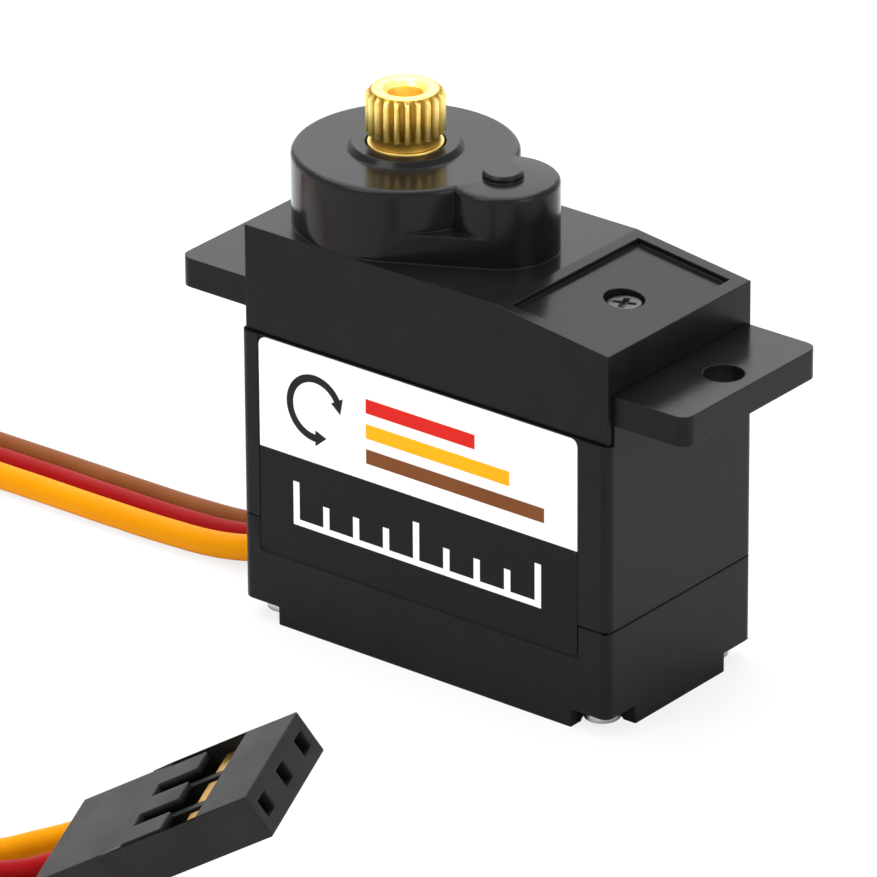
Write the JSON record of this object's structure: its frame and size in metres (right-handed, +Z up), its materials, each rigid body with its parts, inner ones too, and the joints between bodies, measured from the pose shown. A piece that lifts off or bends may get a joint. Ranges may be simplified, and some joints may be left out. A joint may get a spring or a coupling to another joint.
{
  "type": "servo motor",
  "caption": "Micro servo: black case with two mounting ears, splined brass output shaft on a two-lobed tower, three-lead ribbon and plug.",
  "frame": {"origin": "centre of the underside of the case, on the surface it stands on; the leads and the plug are not counted", "axes": "+X along the length, from the output shaft and the leads towards the motor end; +Y across, away from the label; +Z up along the output shaft"},
  "size_m": [0.0868, 0.0472, 0.0289],
  "materials": {
    "case_plastic": "black moulded nylon, fine grain",
    "housing_plastic": "black moulded nylon, slightly smoother",
    "screw_steel": "zinc plated",
    "black_screw": "black oxide, semi gloss",
    "label_film": "printed film, white above and black below",
    "gear_brass": "cut brass, bright",
    "bush_brass": "sintered, oiled",
    "plain_steel": "ground",
    "can_steel": "drawn and plated",
    "magnet": "ground ferrite",
    "cream_plastic": "moulded nylon",
    "copper_parts": "copper, enamelled or bare",
    "tin_parts": "tinned",
    "pot_plastic": "blue moulded plastic",
    "carbon_track": "printed carbon",
    "board": "glass epoxy with green solder mask",
    "chip_plastic": "moulded epoxy",
    "board_part_body": "fired ceramic",
    "clamp_rubber": "black, matt",
    "orange_sheath": "soft PVC, satin",
    "red_sheath": "soft PVC, satin",
    "brown_sheath": "soft PVC, satin",
    "plug_plastic": "black moulded nylon",
    "gold_contact": "gold flashed"
  },
  "bodies": {
    "case": {"bottom_cover": "case_plastic", "middle_case": "case_plastic", "upper_housing": "housing_plastic", "case_screws": "screw_steel", "cover_screw": "black_screw", "label": "label_film", "output_bush": "bush_brass", "axle_pin": "plain_steel", "motor_can": "can_steel", "motor_end_cap": "cream_plastic", "motor_magnets": "magnet", "motor_bearing": "bush_brass", "motor_brushes": "copper_parts", "motor_terminals": "tin_parts", "pot_body": "pot_plastic", "pot_track": "carbon_track", "pot_leads": "tin_parts", "control_board": "board", "control_chip": "chip_plastic", "board_parts": "board_part_body", "lead_clamp": "clamp_rubber", "lead_ends": "tin_parts", "signal_lead": "orange_sheath", "positive_lead": "red_sheath", "ground_lead": "brown_sheath", "plug_housing": "plug_plastic", "plug_contacts": "gold_contact"},
    "output": {"output_gear": "gear_brass", "pot_shaft": "plain_steel", "pot_wiper": "gear_brass"},
    "first_gear_set": {"first_gear": "gear_brass"},
    "second_gear_set": {"second_gear": "gear_brass"},
    "third_gear_set": {"third_gear": "gear_brass"},
    "rotor": {"motor_shaft": "plain_steel", "motor_pinion": "gear_brass", "motor_armature": "can_steel", "motor_windings": "copper_parts", "motor_commutator": "copper_parts"}
  },
  "joints": [
    {"name": "output_spin", "type": "hinge", "parent": "case", "child": "output", "pos_m": [-0.00573, 0, 0.024], "axis": [0, 0, 1], "range_deg": [-90, 90]},
    {"name": "third_gear_spin", "type": "hinge", "parent": "case", "child": "third_gear_set", "pos_m": [0.00052, 0, 0.022], "axis": [0, 0, 1], "range_deg": [-290, 290]},
    {"name": "second_gear_spin", "type": "hinge", "parent": "case", "child": "second_gear_set", "pos_m": [-0.00573, 0, 0.0195], "axis": [0, 0, 1], "range_deg": [-910, 910]},
    {"name": "first_gear_spin", "type": "hinge", "parent": "case", "child": "first_gear_set", "pos_m": [0.00052, 0, 0.0185], "axis": [0, 0, 1], "range_deg": [-2870, 2870]},
    {"name": "rotor_spin", "type": "hinge", "parent": "case", "child": "rotor", "pos_m": [0.00552, 0, 0.012], "axis": [0, 0, 1], "range_deg": [-11450, 11450]}
  ],
  "couplings": [
    {"joint": "third_gear_spin", "follows": "output_spin", "ratio": -3.1667},
    {"joint": "second_gear_spin", "follows": "output_spin", "ratio": 10.028},
    {"joint": "first_gear_spin", "follows": "output_spin", "ratio": -31.755},
    {"joint": "rotor_spin", "follows": "output_spin", "ratio": 127.02}
  ]
}
